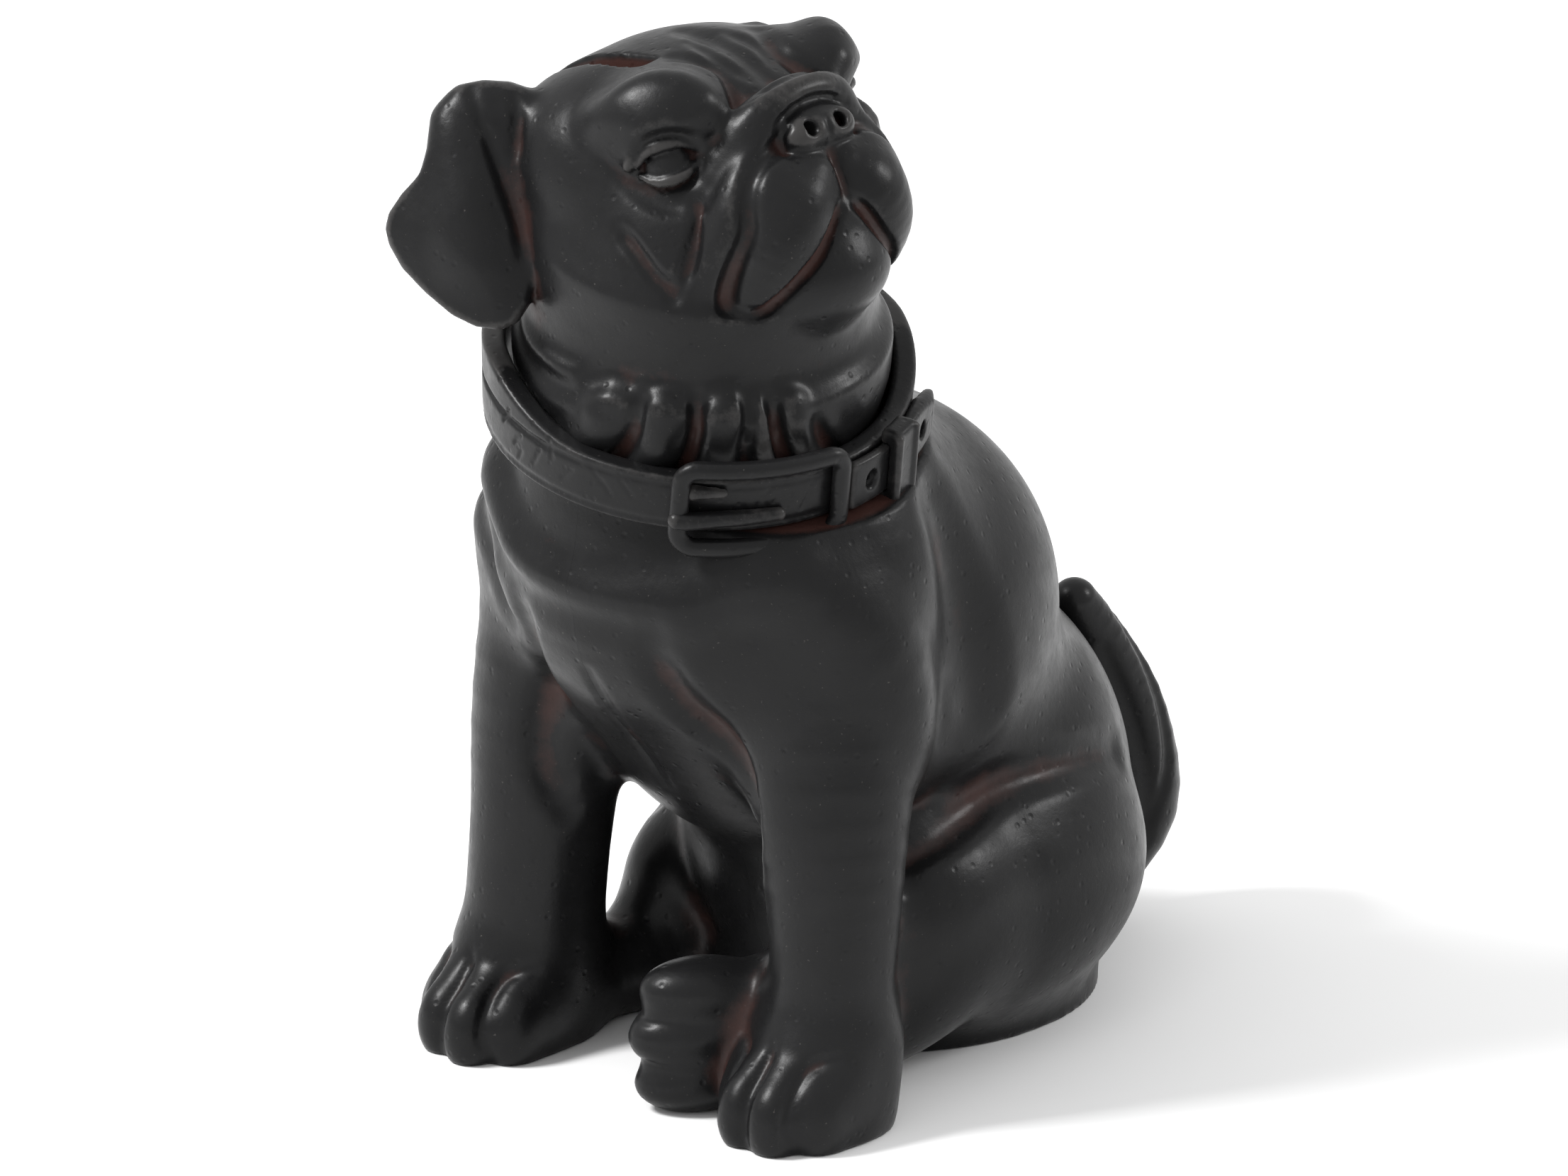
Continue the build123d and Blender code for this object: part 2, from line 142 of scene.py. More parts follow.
def curve(points, steps):
    """Smooth line through the points, with so many steps in each gap."""
    p = np.array(points, float)
    if len(p) < 3:
        t = np.linspace(0, 1, steps + 1)[:, None]
        return p[0] * (1 - t) + p[-1] * t
    ends = np.vstack([2 * p[0] - p[1], p, 2 * p[-1] - p[-2]])
    line = []
    for a, b, c, d in zip(ends, ends[1:], ends[2:], ends[3:]):
        for t in np.linspace(0, 1, steps, endpoint=False):
            line.append(0.5 * (2 * b + (c - a) * t + (2 * a - 5 * b + 4 * c - d) * t * t
                               + (3 * b - a - 3 * c + d) * t ** 3))
    return np.array(line + [p[-1]])


class Clay:
    """A block of field values that shapes are added to and cut from."""

    def __init__(self, low, high, voxel, axes=WORLD, origin=(0, 0, 0)):
        self.voxel, self.axes, self.origin = voxel, np.asarray(axes), np.asarray(origin, float)
        self.low = np.array(low, np.float32)
        count = np.ceil((np.array(high) - self.low) / voxel).astype(int) + 1
        self.rulers = [self.low[i] + voxel * np.arange(count[i], dtype=np.float32) for i in range(3)]
        self.d = np.full(count, FAR, np.float32)

    def whole(self, field):
        """A field for the whole block, as a shape."""
        return field, self.low, [ruler[-1] for ruler in self.rulers]

    def blank(self):
        """An empty block of the same size and place."""
        other = copy.copy(self)
        other.d = np.full_like(self.d, FAR)
        return other

    def twin(self):
        """A copy that can be cut without changing this one."""
        other = copy.copy(self)
        other.d = self.d.copy()
        return other

    def window(self, low, high):
        """Index ranges of the cells between two corners, and their places along each axis."""
        spans, grids = [], []
        for i in range(3):
            a = int(np.clip((low[i] - self.low[i]) // self.voxel, 0, self.d.shape[i] - 1))
            b = int(np.clip((high[i] - self.low[i]) // self.voxel + 2, a + 1, self.d.shape[i]))
            spans.append(slice(a, b))
            shape = [1, 1, 1]
            shape[i] = b - a
            grids.append(self.rulers[i][a:b].reshape(shape))
        return tuple(spans), grids

    def change(self, shape, k, cut):
        """Adds a shape, or cuts it away, rounding the join over a width of k."""
        field, low, high = shape
        reach = 6 + 2 * k
        spans, (x, y, z) = self.window(np.array(low) - reach, np.array(high) + reach)
        new = field(x, y, z).astype(np.float32)
        old = self.d[spans]
        self.d[spans] = -blend_min(-old, new, k) if cut else blend_min(old, new, k)

    def add(self, shape, k=0.0):
        self.change(shape, k, False)
        return self

    def cut(self, shape, k=0.0):
        self.change(shape, k, True)
        return self

    def sample(self, points):
        """The field at each point."""
        q = np.clip((points - self.low) / self.voxel, 0, np.array(self.d.shape) - 1.001)
        i = q.astype(int)
        f = q - i
        total = 0
        for dx in (0, 1):
            for dy in (0, 1):
                for dz in (0, 1):
                    weight = np.abs(1 - dx - f[:, 0]) * np.abs(1 - dy - f[:, 1]) * np.abs(1 - dz - f[:, 2])
                    total = total + weight * self.d[i[:, 0] + dx, i[:, 1] + dy, i[:, 2] + dz]
        return total

    def normal(self, points):
        """The field's direction of rise at each point."""
        h = self.voxel * 1.2
        slope = [self.sample(points + h * e) - self.sample(points - h * e) for e in np.eye(3)]
        slope = np.stack(slope, 1)
        return slope / np.maximum(np.linalg.norm(slope, axis=1, keepdims=True), 1e-6)

    def snapped(self, points, steps=5):
        """The line moved on to the surface, and the surface's normals there."""
        line = curve(points, steps)
        for _ in range(14):
            line = line - np.clip(self.sample(line), -3, 3)[:, None] * self.normal(line) * 0.8
        return line, self.normal(line)

    def crease(self, points, radius=1.2, depth=1.0, k=1.2, steps=5):
        """A groove along a line on the surface, shallower at its ends."""
        line, normals = self.snapped(points, steps)
        swell = np.clip(np.sin(np.pi * np.linspace(0, 1, len(line))) * 2.2, 0.15, 1)[:, None]
        return self.cut(strand(line + normals * (radius - depth * swell), radius, steps=1), k)

    def roll(self, points, radius=3.0, rise=1.2, k=3.0, steps=5):
        """A fold along a line on the surface, lower at its ends."""
        line, normals = self.snapped(points, steps)
        swell = np.clip(np.sin(np.pi * np.linspace(0, 1, len(line))) * 2.0, 0.0, 1)[:, None]
        return self.add(strand(line - normals * (radius - rise * swell), radius, steps=1), k)


def rounded(gaps):
    """Distance to a form from the gaps to its faces: round outside a corner, flat within."""
    nearest = gaps[0]
    for gap in gaps[1:]:
        nearest = np.maximum(nearest, gap)
    return np.sqrt(sum(np.maximum(gap, 0) ** 2 for gap in gaps)) + np.minimum(nearest, 0)


def ellipsoid(centre, radii, spin=WORLD):
    c, r = np.asarray(centre, float), np.asarray(radii, float)
    m = np.asarray(spin).T
    reach = np.sqrt(((m.T * r) ** 2).sum(1))

    def field(x, y, z):
        x, y, z = x - c[0], y - c[1], z - c[2]
        u, v, w = (m[i, 0] * x + m[i, 1] * y + m[i, 2] * z for i in range(3))
        near = np.sqrt((u / r[0]) ** 2 + (v / r[1]) ** 2 + (w / r[2]) ** 2)
        slope = np.sqrt((u / r[0] ** 2) ** 2 + (v / r[1] ** 2) ** 2 + (w / r[2] ** 2) ** 2)
        return near * (near - 1) / np.maximum(slope, 1e-6)

    return field, c - reach, c + reach


def strand(points, radii, steps=4):
    """A limb of round cones along a smooth line."""
    radii = np.broadcast_to(radii, (len(points),))
    line = np.column_stack([points, radii])
    line = curve(line, steps) if steps > 1 else line
    p, r = line[:, :3], line[:, 3]

    def field(x, y, z):
        best = None
        for a, b, ra, rb in zip(p[:-1], p[1:], r[:-1], r[1:]):
            e = b - a
            t = np.clip(((x - a[0]) * e[0] + (y - a[1]) * e[1] + (z - a[2]) * e[2]) / max(e @ e, 1e-9), 0, 1)
            dx, dy, dz = x - a[0] - t * e[0], y - a[1] - t * e[1], z - a[2] - t * e[2]
            far = np.sqrt(dx ** 2 + dy ** 2 + dz ** 2) - (ra + (rb - ra) * t)
            best = far if best is None else np.minimum(best, far)
        return best

    return field, p.min(0) - r.max(), p.max(0) + r.max()


def block(centre, half, spin=WORLD, round_by=0.0):
    c, h = np.asarray(centre, float), np.asarray(half, float) - round_by
    m = np.asarray(spin).T
    reach = (np.abs(m.T) * (h + round_by)).sum(1)

    def field(x, y, z):
        x, y, z = x - c[0], y - c[1], z - c[2]
        q = [np.abs(m[i, 0] * x + m[i, 1] * y + m[i, 2] * z) - h[i] for i in range(3)]
        return rounded(q) - round_by

    return field, c - reach, c + reach


def column(axes, origin, radius, low, high, squash=(1, 1)):
    """Cylinder about the third axis of a frame, between two heights along it."""
    m, o = np.asarray(axes).T, np.asarray(origin, float)
    reach = np.abs(high - low) / 2 + radius
    middle = o + np.asarray(axes)[:, 2] * (low + high) / 2

    def field(x, y, z):
        x, y, z = x - o[0], y - o[1], z - o[2]
        u, v, w = (m[i, 0] * x + m[i, 1] * y + m[i, 2] * z for i in range(3))
        side = (np.sqrt((u / squash[0]) ** 2 + (v / squash[1]) ** 2) - radius) * min(squash)
        ends = np.abs(w - (low + high) / 2) - (high - low) / 2
        return rounded((side, ends))

    return field, middle - reach, middle + reach


def minus(shape, other):
    """The first shape without the second."""
    field, low, high = shape
    return (lambda x, y, z: np.maximum(field(x, y, z), -other[0](x, y, z))), low, high


def neck_in(axes, origin):
    """The neck's axes and middle, seen from a sculpt's own frame."""
    axes = np.asarray(axes)
    return axes.T @ NECK, axes.T @ (np.array(NECK_AT) - np.array(origin))


def across(y, z, low, high, radius):
    """Round bar along X."""
    axes = np.array([[0, 0, 1], [0, 1, 0], [-1, 0, 0]], float)
    return column(axes, (0, y, z), radius, low, high)


def upright(at, radius, low, high, squash=(1, 1)):
    return column(WORLD, (at[0], at[1], 0), radius, low, high, squash)


# ---------------------------------------------------------------- sculpting the body

def paw(clay, side, reach, toes, height):
    """Forepaw: a soft pad with toes laid side by side and grooves between them."""
    x = side * 37.2
    clay.add(ellipsoid((x, -48, 9), (12.6, 15, 12)), 6)
    clay.add(ellipsoid((x, -44, 17), (11.5, 12, 10)), 6)
    for toe_x, toe_y, width in toes:
        middle = (side * toe_x, toe_y + 3, height * 0.42)
        clay.add(ellipsoid(middle, (width, 8.5, height * 0.62)), 3.2)
        knuckle = (side * toe_x, toe_y - 1.5 + reach, height * 0.34)
        clay.add(ellipsoid(knuckle, (width * 0.92, 5.5, height * 0.5)), 2.0)
    for (ax, ay, aw), (bx, by, bw) in zip(toes, toes[1:]):
        gx, gy = side * (ax + bx) / 2, (ay + by) / 2
        line = [(gx, gy + 8, height * 1.05), (gx, gy - 1, height * 0.9), (gx, gy - 6, height * 0.5),
                (gx, gy - 5, 2)]
        clay.crease(line, 1.1, 1.0, 1.0)


def forelegs(clay):
    right = [(-36, -45, 3), (-35.6, -44.5, 22), (-35, -43, 42), (-33.5, -41, 66), (-29, -37, 94),
             (-24, -36, 110)]
    clay.add(strand(right, [12, 12.8, 13.2, 15.2, 18, 17]), 7)
    left = [(38, -45, 3), (37.5, -44.5, 22), (37, -43, 42), (34, -41, 66), (29, -37, 94), (24, -36, 110)]
    clay.add(strand(left, [11.5, 11.2, 12.4, 15.5, 18, 17]), 9)
    paw(clay, -1, -0.5, ((46.1, -54.5, 5.0), (41, -60.5, 5.8), (33.5, -62, 5.8), (27.5, -57, 4.8)), 15)
    paw(clay, 1, 0.0, ((27.4, -55, 4.6), (33, -61, 5.6), (40.2, -61, 5.8), (45.8, -55, 4.8)), 15)


def hind_left(clay):
    """Heavy thigh, then the foot on edge inside the foreleg, its toes one above another."""
    clay.add(ellipsoid((26, 11, 29), (20.5, 38, 26)), 5)
    clay.add(ellipsoid((30, -14, 30), (16.5, 20, 20.5), turned(0, 0, -12)), 7)
    clay.add(ellipsoid((26, -26, 17), (12.5, 20, 15), turned(0, 0, -25)), 7)
    clay.add(ellipsoid((20, -44, 14), (8.5, 18, 13.5), turned(0, 0, -37)), 6)
    clay.add(ellipsoid((14, -53, 14), (7.5, 12, 13.5), turned(0, 0, -37)), 4)
    for height, out in ((5.2, 0.0), (14.2, -1.0), (23.0, 0.8)):
        middle = (13.2 + out * 0.6, -55.5 + out, height)
        clay.add(ellipsoid(middle, (7.0, 10.5, 5.7), turned(0, 0, -37)), 2.6)
    for height in (9.8, 18.7):
        line = [(17, -48, height), (8, -54, height), (5.5, -60, height), (9, -65, height), (15, -63, height)]
        clay.crease(line, 0.7, 0.45, 0.6)


def hind_right(clay):
    """The right thigh and shin lie lower and further back, with the foot laid forwards on the shelf."""
    clay.add(ellipsoid((-26, 22, 28), (19.5, 33, 28)), 6)
    clay.add(ellipsoid((-30, -4, 20), (12.5, 18, 17)), 6)
    clay.add(strand([(-30, -6, 10), (-31, -20, 9), (-33, -32, 8)], [12, 10, 8.5]), 6)


def haunch_folds(clay):
    """Folds that frame the thighs, and the soft ridges of the shoulder and the flank."""
    left = [(41, 40, 52), (43, 18, 55), (43, -4, 54), (41, -20, 50), (37, -31, 44)]
    clay.crease(left, 2.6, 1.7, 4.0)
    right = [(-39, 42, 46), (-42, 24, 50), (-41, 4, 47), (-38, -10, 38)]
    clay.crease(right, 2.6, 1.5, 4.0)
    for side in (-1, 1):
        shoulder = [(side * 33, -62, 116), (side * 43, -44, 96), (side * 45, -28, 74), (side * 42, -20, 58)]
        clay.roll(shoulder, 7.0, 1.2, 8.0)
        behind = [(side * 38, -18, 112), (side * 44, -12, 92), (side * 44, -8, 72)]
        clay.crease(behind, 5.0, 1.3, 8.0)
        arm = [(side * 17, -72, 92), (side * 21, -66, 74), (side * 23, -57, 58), (side * 22, -50, 48)]
        clay.crease(arm, 2.6, 2.2, 4.5)


def chest_folds(clay):
    """Loose skin that hangs below the collar."""
    low = [(-34, -62, 118), (-16, -76, 103), (6, -80, 99), (26, -72, 102), (38, -58, 108)]
    clay.roll(low, 5.0, 1.5, 6.0)
    under = [(-36, -58, 110), (-20, -73, 99), (0, -78, 96), (18, -74, 96)]
    clay.crease(under, 3.2, 1.0, 5.0)
    clay.crease([(-42, -44, 112), (-36, -58, 99), (-28, -66, 86)], 3.0, 1.4, 5.0)
    clay.crease([(1, -76, 82), (1.4, -72, 73), (1.0, -66, 62), (0.6, -55, 52)], 1.6, 0.6, 1.5)


def body_outside():
    clay = Clay((-53, -84, -2), (53, 68, 140), BODY_VOXEL)
    for middle, radii in TORSO_MASSES:
        clay.add(ellipsoid(middle, radii), 8)
    clay.add(column(NECK, NECK_AT, STUB_RADIUS, -34, 4), 5)
    clay.add(upright(BASE_AT, 34, -2, 12, (0.98, 1.12)), 8)
    hind_right(clay)
    hind_left(clay)
    forelegs(clay)
    haunch_folds(clay)
    chest_folds(clay)
    return clay


def body_inside(clay):
    """Hollow, socket, floor, trap opening and the screws' holes."""
    hollow = clay.blank()
    for middle, radii in TORSO_MASSES:
        hollow.add(ellipsoid(middle, np.array(radii) - WALL - 0.5), 4)
    hollow.cut(block((0, 0, FLOOR_HIGH - 100), (150, 150, 100)))
    hollow.cut(column(NECK, NECK_AT, 90, -SOCKET_LENGTH, 60))
    for y, z, seat in CLAMP_AT:
        hollow.cut(across(y, z, -60, 60, BOSS_RADIUS), 1)
    clay.d = np.maximum(clay.d, -hollow.d)
    clay.cut(column(NECK, NECK_AT, BORE_RADIUS, -SOCKET_LENGTH - 12, 6))
    clay.cut(column(NECK, NECK_AT, 90, 0, 60))
    stub = column(NECK, NECK_AT, STUB_RADIUS, -30, 12)
    clay.cut(minus(column(NECK, NECK_AT, 90, STRAP_LOW - 0.25, 9), stub))
    clay.cut(upright(BASE_AT, BASE_HOLLOW[0], -5, FLOOR_LOW, (1, BASE_HOLLOW[1] / BASE_HOLLOW[0])))
    clay.cut(upright(TRAP_OPENING, TRAP_OPENING_RADIUS, 0, 30))
    clay.cut(upright(TRAP_PIVOT, 2.5, 0, 30))
    clay.cut(upright(LOCK_AT, 2.1, 0, 30))
    for y, z, seat in CLAMP_AT:
        clay.cut(across(y, z, seat, 14, 2.5))
        clay.cut(across(y, z, -90, seat, 4.75))
    clay.cut(block((0, 0, -50), (90, 100, 50)))
    return clay


# ---------------------------------------------------------------- sculpting the head, in the head's own frame

MOUTH = ((40.5, 0, -7), (38.6, 4.2, -11.5), (36.2, 7.6, -15), (32.5, 11, -18), (27, 14.2, -21),
         (20.5, 17.6, -23))
CHEEK_ROLL = ((33, 9, 11), (31.5, 13.2, 4), (30, 17.6, -2), (26.5, 20.2, -7.5), (22, 22.4, -12),
              (18, 23, -16.5))
FLEW_CREASE = ((33.5, 6, 11), (33, 9.6, 6), (32, 13.4, 1.2), (30, 16.8, -4), (27.6, 18.4, -10.5),
               (24.2, 19.4, -14.8), (20.2, 20.2, -18), (18, 20, -21.5))
CHEEK_CREASE = ((27, 15.5, 9), (26.6, 18, 5), (25.4, 20.4, 0.5), (23, 22.4, -4.5), (19.8, 23.6, -9.8),
                (15.4, 25, -14.2))
CHEEK_FOLD = ((12, 31, -1), (13.4, 29, -5), (14.6, 27.2, -9.4), (15.2, 25.2, -14.4))
TEMPLE_CREASE = ((11, 27, 12), (15, 26.4, 6), (18.6, 25, 1.6), (22, 22, -0.5))
BROW_ROLL = ((9, 27, 20), (15, 24.6, 19), (20, 20.4, 18), (24, 15.6, 15.6))
BROW = ((18, 11, 26), (25, 7.4, 21.5), (28, 9, 16.5), (28.4, 12.4, 11.5), (27.4, 15, 8))


def mirrored(line, side):
    """A line on the left of the head, or the same line on the right."""
    return [(f, side * l, t) for f, l, t in line]


def eye(clay, side):
    """Eyeball under a double upper lid and a soft lower lid."""
    ball = np.array((19.8, side * 21.8, 8.2))
    aim = np.array((0.70, side * 0.69, 0.06))
    clay.cut(ellipsoid(ball + aim * 5.4, (6.6, 6.6, 5.6)), 2.4)
    clay.add(ellipsoid(ball - aim * 1.1, (4.7, 4.7, 4.7)))
    toward = np.array((0.71, -side * 0.70, 0.0))
    up = np.cross(toward, aim) * side
    up = up if up[2] > 0 else -up

    def lid(rise, spread, out, drop=0.0):
        """An arch over the eyeball from corner to corner."""
        places = []
        for share in (-1.0, -0.6, -0.2, 0.2, 0.6, 1.0):
            across_lid = toward * spread * share
            height = up * (rise * math.sqrt(max(0.0, 1 - 0.92 * share * share)) + drop * abs(share))
            places.append(ball + across_lid + height + aim * (out - 2.2 * share * share))
        return places

    clay.add(strand(lid(3.5, 5.6, 3.9), [0.6, 1.0, 1.3, 1.3, 1.0, 0.6]), 0.5)
    clay.add(strand(lid(-3.4, 5.4, 3.0), [0.6, 0.9, 1.1, 1.1, 0.9, 0.6]), 0.6)
    clay.add(strand(lid(6.7, 7.4, 3.6, -0.6), [0.8, 1.3, 1.6, 1.7, 1.4, 0.8]), 0.9)


def muzzle(clay):
    """Two heavy flews that meet under the nose, and the chin that shows between them."""
    clay.add(ellipsoid((24, 0, -6), (15, 19.5, 17)), 8)
    clay.add(ellipsoid((26.5, 0, -19), (12, 13.5, 9.5)), 4)
    for side in (-1, 1):
        flew = [(35.2, side * 4.6, -1.5), (33.6, side * 8.6, -6.5), (30.2, side * 11.8, -11),
                (25.4, side * 13.4, -15.5), (20.6, side * 15, -20)]
        fuller = 0.9 if side > 0 else 0.0
        clay.add(strand(flew, [4.8, 7.0 + fuller, 7.6 + fuller, 6.4 + fuller, 3.6]), 2.6)
        clay.add(ellipsoid((30.5, side * 10.6, -3.5), (8.4, 7.8, 8.6)), 3.5)
    for side in (-1, 1):
        clay.crease(mirrored(MOUTH, side), 1.3, 1.9, 0.9)
        clay.crease(mirrored(FLEW_CREASE, side), 1.5, 1.5, 1.8)
    clay.crease([(41, 0, 3), (41.5, 0, -2), (41, 0, -7)], 0.9, 1.1, 0.8)


def nose(clay):
    """Nose pad, wings and nostrils under the roll of skin that crosses the bridge."""
    clay.add(ellipsoid((34.5, 0, 6.2), (5.8, 8.0, 4.6)), 1.6)
    for side in (-1, 1):
        clay.add(ellipsoid((36.4, side * 4.6, 6.0), (3.8, 3.9, 3.4)), 1.2)
        nostril = [(41.5, side * 3.6, 6.8), (37.5, side * 4.2, 6.6), (36.5, side * 6.4, 5.6)]
        clay.cut(strand(nostril, [1.6, 1.3, 0.7]), 0.8)
        clay.crease([(38, side * 8.2, 9.0), (36, side * 9.4, 6), (36.5, side * 8.4, 2.6)], 0.9, 0.8, 0.8)
    clay.crease([(40, 0, 8), (41, 0, 5), (41, 0, 2)], 0.7, 0.5, 0.6)
    roll = [(26, -16.5, 4), (31, -12, 9.5), (34, -6.4, 12.6), (34.8, 0, 13.6), (34, 6.4, 12.6), (31, 12, 9.5),
            (26, 16.5, 4)]
    clay.add(strand(roll, [2.6, 3.4, 3.8, 3.8, 3.8, 3.4, 2.6]), 2.4)
    clay.crease([(37, -9, 9), (38.6, -5, 10.8), (39, 0, 11.4), (38.6, 5, 10.8), (37, 9, 9)], 0.9, 1.3, 0.8)
    behind = [(33, -10, 14.5), (35, -5, 16.6), (35.6, 0, 17.4), (35, 5, 16.6), (33, 10, 14.5)]
    clay.crease(behind, 1.3, 1.3, 1.4)


def brows(clay):
    """Forehead: two soft brows, a furrow between them and short wrinkles above the bridge."""
    for side in (-1, 1):
        clay.add(ellipsoid((17.0, side * 17, 16.4), (12.5, 12, 8.8), turned(0, 0, side * 25)), 5)
        clay.crease(mirrored(BROW, side), 1.7, 1.4, 2.2)
        clay.roll(mirrored(BROW_ROLL, side), 3.4, 0.9, 3.5)
        clay.crease(mirrored([(17, 4.5, 29), (24, 5, 24), (29, 4, 19.5)], side), 1.3, 0.9, 1.6)
    clay.crease([(12, 0, 31), (22, 0, 26), (30, 0, 18.5)], 2.2, 1.2, 3.2)


def cheeks(clay):
    """The fold that runs from the bridge round each flew, and the V of loose skin on the cheek."""
    for side in (-1, 1):
        clay.add(ellipsoid((10, side * 20.5, -10), (13.5, 10.5, 13.5)), 7)
        clay.add(strand(mirrored(CHEEK_ROLL, side), [2.6, 3.0, 3.3, 3.4, 3.2, 2.4]), 2.4)
        clay.crease(mirrored(CHEEK_CREASE, side), 1.5, 1.5, 1.4)
        clay.crease(mirrored(CHEEK_FOLD, side), 1.4, 1.3, 1.6)
        clay.crease(mirrored(TEMPLE_CREASE, side), 1.8, 0.8, 2.4)


EAR_OUTLINE = ((14, 19), (8.2, 21.8), (3.5, 22), (-0.5, 20.5), (-4, 15.4), (-5.5, 9.6), (-7.6, 5.3),
               (-11.2, 1.7), (-13.8, -1.9), (-14.5, -4.7), (-13.8, -7.6), (-11.2, -11.9), (-6.9, -16.2),
               (-1.9, -20.3), (2.4, -22.4), (6.6, -23), (9.6, -21.8), (11.8, -18.4), (13.2, -13.4),
               (13.4, -6.2), (12.4, 1), (12, 8.2), (13, 14))
EAR_RIM = 1.2                   # radius of the ear's edge


def flap(middle, ahead, rise, bulge, flip=1):
    """Thick leaf with the ear's outline, bulging towards its outer face and thinner at its rim."""
    c, a = np.array(middle, float), np.array(ahead, float)
    a /= np.linalg.norm(a)
    r = np.array(rise, float) - a * np.dot(rise, a)
    r /= np.linalg.norm(r)
    out = np.cross(a, r) * flip
    ring = np.array(EAR_OUTLINE) * [flip, 1]

    def field(x, y, z):
        x, y, z = x - c[0], y - c[1], z - c[2]
        u, v, w = (q[0] * x + q[1] * y + q[2] * z for q in (a, r, out))
        near, inside = None, False
        for p0, p1 in zip(ring, np.roll(ring, -1, 0)):
            e = p1 - p0
            t = np.clip(((u - p0[0]) * e[0] + (v - p0[1]) * e[1]) / (e @ e), 0, 1)
            far = (u - p0[0] - t * e[0]) ** 2 + (v - p0[1] - t * e[1]) ** 2
            near = far if near is None else np.minimum(near, far)
            passes = (p0[1] > v) != (p1[1] > v)
            crossing = passes & (u < (v - p0[1]) * e[0] / (e[1] if e[1] else 1e-9) + p0[0])
            inside = np.logical_xor(inside, crossing)
        edge = np.where(inside, -1, 1) * np.sqrt(near) + EAR_RIM
        dome = bulge * (1 - (u / 15) ** 2 - 0.6 * (v / 23) ** 2)
        thick = 1.1 + 1.5 * np.clip(-edge / 9, 0, 1)
        level = np.abs(w - dome) - thick
        return rounded((edge, level)) - EAR_RIM

    def place(u, v, w):
        return c + a * u * flip + r * v + out * w

    return (field, c - 32, c + 32), place


def ears(clay):
    """The right ear stands off backwards with its outer face in view; the left one folds forwards."""
    right, on_right = flap((-20.2, -35.7, 11.6), (0.775, 0.563, -0.287), (0.194, 0.22, 0.956), 3.2)
    left, on_left = flap((-3, 32.2, 7), (0.85, 0.5, 0), (0.05, -0.5, 0.85), 2.6, -1)
    clay.add(right, 1.5)
    clay.add(left, 1.5)
    for on, flip in ((on_right, 1), (on_left, -1)):
        root = [on(6, 17, 0), on(11, 15, -1), on(15, 12, -4)]
        clay.add(strand(root, [3.0, 4.4, 5.5]), 4.0)
        clay.add(strand([on(12.5, 12, 0), on(13, 4, -1), on(13.5, -4, -2)], [3.4, 3.0, 2.2]), 2.5)
        fold = [on(2, 20, 4), on(4.5, 12, 4), on(7.6, 4, 4), on(10.6, -3, 4), on(11.6, -9, 3)]
        clay.crease(fold, 1.3, 1.1, 1.6)
        clay.roll([on(-2, 17, 4), on(-1, 8, 5), on(1, -2, 5), on(2, -10, 4)], 4.5, 0.7, 5)
        clay.crease([on(9.5, 19, 3), on(10.5, 14, 3), on(11.5, 9, 3)], 1.0, 0.8, 1.2)


# Each fold and furrow: its turn round the neck at the collar, its lean, its size and how far up it runs.
DEWLAP_FOLDS = ((-62, 9, 4.4, 13), (-37, 5, 3.6, 15), (-14, 3, 4.6, 19), (9, -7, 3.0, 14), (25, -10, 2.6, 17))
DEWLAP_FURROWS = ((-49, 8, 1.3, 14), (-26, 5, 1.9, 17), (-2, -2, 1.4, 19), (16, -8, 2.1, 16),
                  (34, -9, 1.2, 12))


def throat(clay, m, o):
    """Neck down to the joint, with the dewlap's folds. m and o are the neck's axes and middle."""
    def at(turn, up, radius):
        a = math.radians(turn)
        return o + m @ np.array([radius * math.cos(a), radius * math.sin(a), up])

    clay.add(column(m, o, 33.4, -0.5, 15), 5)
    clay.add(column(m, o, 30.5, 10, 34), 10)
    for turn, lean, radius, rise in DEWLAP_FOLDS:
        line = [at(turn, 1, 33), at(turn + lean, 7, 33), at(turn + lean * 1.5, rise, 31)]
        clay.roll(line, radius, 1.7, 2.6)
    for turn, lean, depth, rise in DEWLAP_FURROWS:
        line = [at(turn, 0, 33), at(turn + lean, 6, 33), at(turn + lean * 1.6, rise, 31)]
        clay.crease(line, 1.4, depth, 1.5)
    clay.crease([at(-120, 16, 33), at(-90, 13, 34), at(-65, 14, 34), at(-45, 18, 32)], 2.0, 1.0, 3.0)


def head_outside():
    clay = Clay((-52, -62, -62), (47, 62, 42), HEAD_VOXEL, HEAD, HEAD_AT)
    m, o = neck_in(HEAD, HEAD_AT)
    clay.add(ellipsoid((-2, 0, 0), (33.5, 32.5, 30.5)))
    clay.add(ellipsoid((2, 0, 11.5), (27, 27, 17.5)), 7)
    for side in (-1, 1):
        clay.add(ellipsoid((-5, side * 16, 14), (17, 15, 14)), 7)
    throat(clay, m, o)
    cheeks(clay)
    muzzle(clay)
    brows(clay)
    nose(clay)
    for side in (-1, 1):
        eye(clay, side)
    ears(clay)
    return clay


